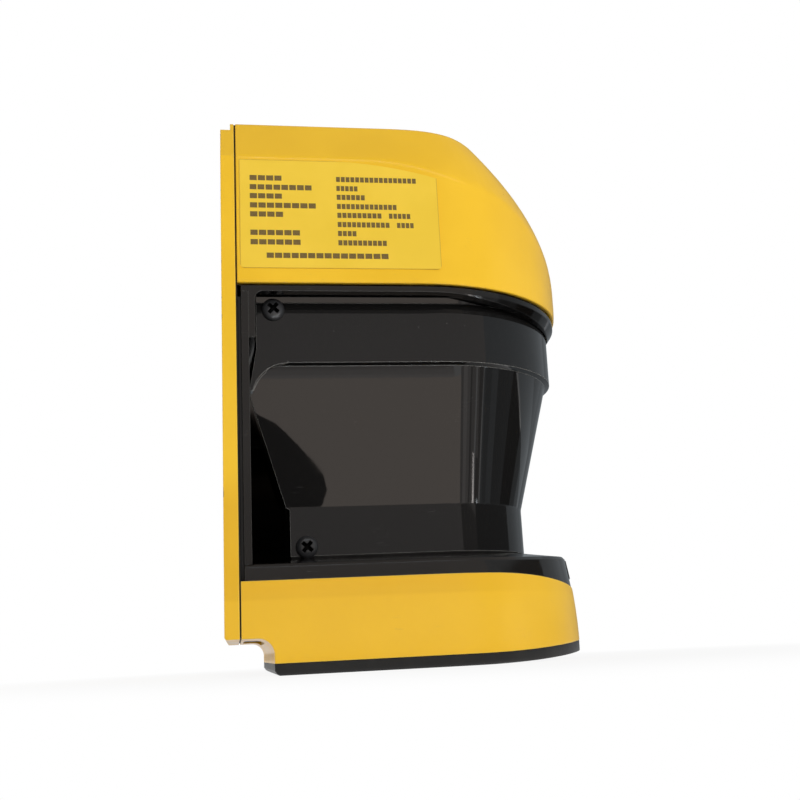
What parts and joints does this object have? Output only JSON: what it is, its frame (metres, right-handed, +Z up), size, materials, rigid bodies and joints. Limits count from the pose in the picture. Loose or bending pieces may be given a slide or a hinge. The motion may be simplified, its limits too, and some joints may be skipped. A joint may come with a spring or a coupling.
{
  "type": "safety laser scanner",
  "caption": "Compact safety laser scanner: yellow head and base housings with a flat back, a smoked tapering window between them and a turning scan mirror inside.",
  "frame": {"origin": "point where the scan mirror's axis of turning meets the plane of the bottom plate", "axes": "+Z up along the scan axis, -Y to the front that scans, +Y out of the flat rear face, +X across the width"},
  "size_m": [0.1024, 0.1043, 0.152],
  "materials": {
    "housing_paint": "satin gloss yellow paint",
    "label_film": "satin yellow film",
    "gloss_black": "glossy",
    "satin_black": "satin",
    "seal_rubber": "matt",
    "smoked_window": "glossy smoked",
    "smoked_lens": "glossy smoked",
    "black_screw": "black finish",
    "plain_steel": "plain",
    "copper_wire": "enamelled wire",
    "dark_ferrite": "matt",
    "mirror_glass": "mirror",
    "lens_glass": "clear",
    "brass_barrel": "turned",
    "circuit_board": "satin",
    "chip_plastic": "matt",
    "indicator_plastic": "clear amber",
    "ribbon_film": "film"
  },
  "bodies": {
    "scanner": {"rear_housing": "housing_paint", "rear_seal": "seal_rubber", "head_cover": "housing_paint", "base_housing": "housing_paint", "bottom_plate": "satin_black", "base_trim": "gloss_black", "indicator_lens": "smoked_lens", "head_plate": "gloss_black", "rear_frame": "gloss_black", "window": "smoked_window", "upper_window_seal": "seal_rubber", "lower_window_seal": "seal_rubber", "window_screws": "black_screw", "rear_screws": "black_screw", "bottom_screws": "black_screw", "motor_screws": "black_screw", "rating_label": "label_film", "inlet_socket": "satin_black", "motor_can": "plain_steel", "motor_winding": "copper_wire", "lower_bearing": "plain_steel", "upper_bearing": "plain_steel", "encoder_sensor": "chip_plastic", "lens_holder": "satin_black", "receiver_lens": "lens_glass", "laser_module": "brass_barrel", "receiver_tube": "satin_black", "receiver_board": "circuit_board", "photodiode": "plain_steel", "main_board": "circuit_board", "main_board_parts": "chip_plastic", "power_board": "circuit_board", "power_board_parts": "chip_plastic", "indicator_board": "circuit_board", "indicator_parts": "indicator_plastic", "flex_cable": "ribbon_film"},
    "rotor": {"motor_shaft": "plain_steel", "rotor_magnet": "dark_ferrite", "encoder_disc": "plain_steel", "mirror_holder": "satin_black", "scan_mirror": "mirror_glass"}
  },
  "joints": [
    {"name": "mirror_spin", "type": "hinge", "parent": "scanner", "child": "rotor", "pos_m": [0, 0, 0.063], "axis": [0, 0, 1], "continuous": true}
  ]
}
